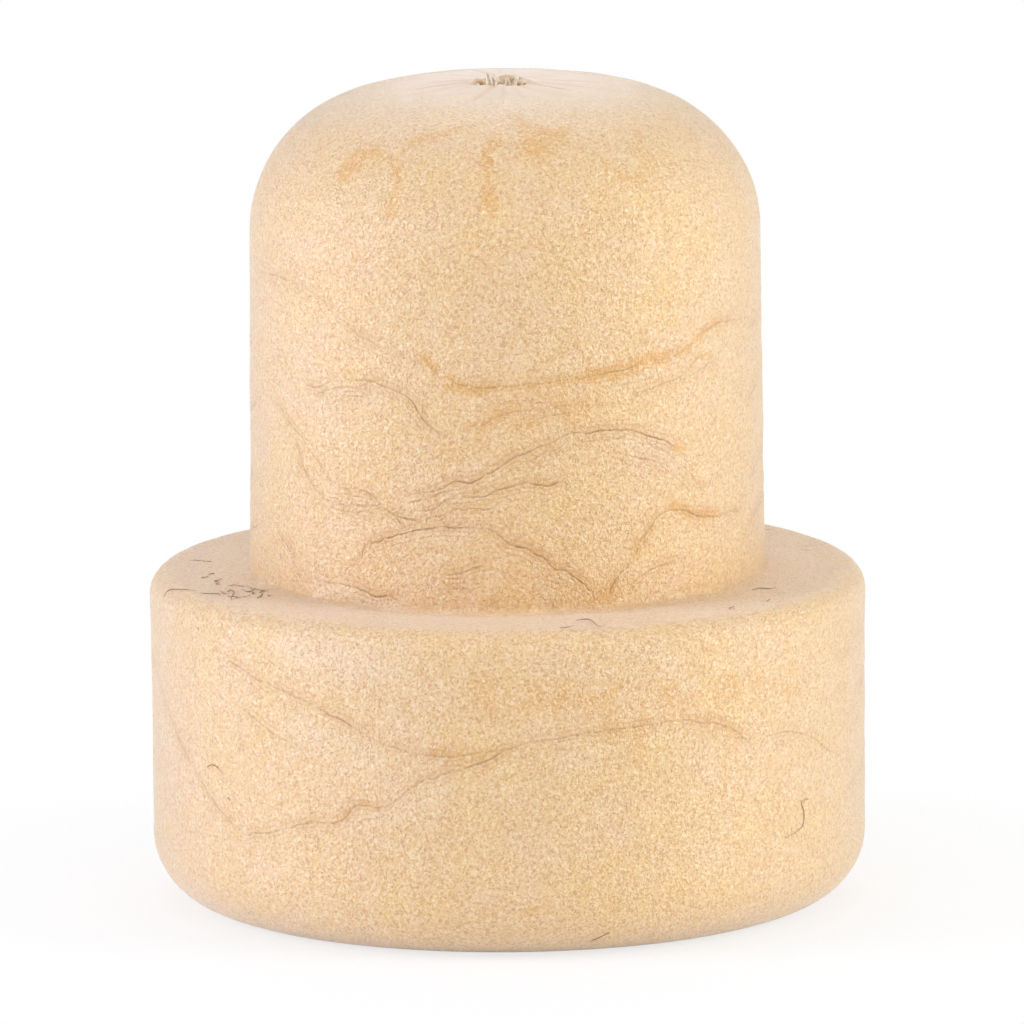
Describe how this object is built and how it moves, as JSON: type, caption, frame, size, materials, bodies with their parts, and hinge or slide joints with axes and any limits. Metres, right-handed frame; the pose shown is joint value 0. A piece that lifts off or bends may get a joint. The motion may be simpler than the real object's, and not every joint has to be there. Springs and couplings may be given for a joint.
{
  "type": "mushroom bottle stopper",
  "caption": "One-piece moulded foam stopper: a broad round head and a parallel domed shank that is pressed into a bottle neck.",
  "frame": {"origin": "centre of the flat face of the head, on which the stopper stands upside down", "axes": "+Z along the shank, towards its domed tip; -Y is the front; round about Z"},
  "size_m": [0.028, 0.028, 0.0323],
  "materials": {
    "foam": "matt foam skin, like suede, with faint flow lines"
  },
  "bodies": {
    "root": {"stopper_body": "foam"}
  },
  "joints": []
}
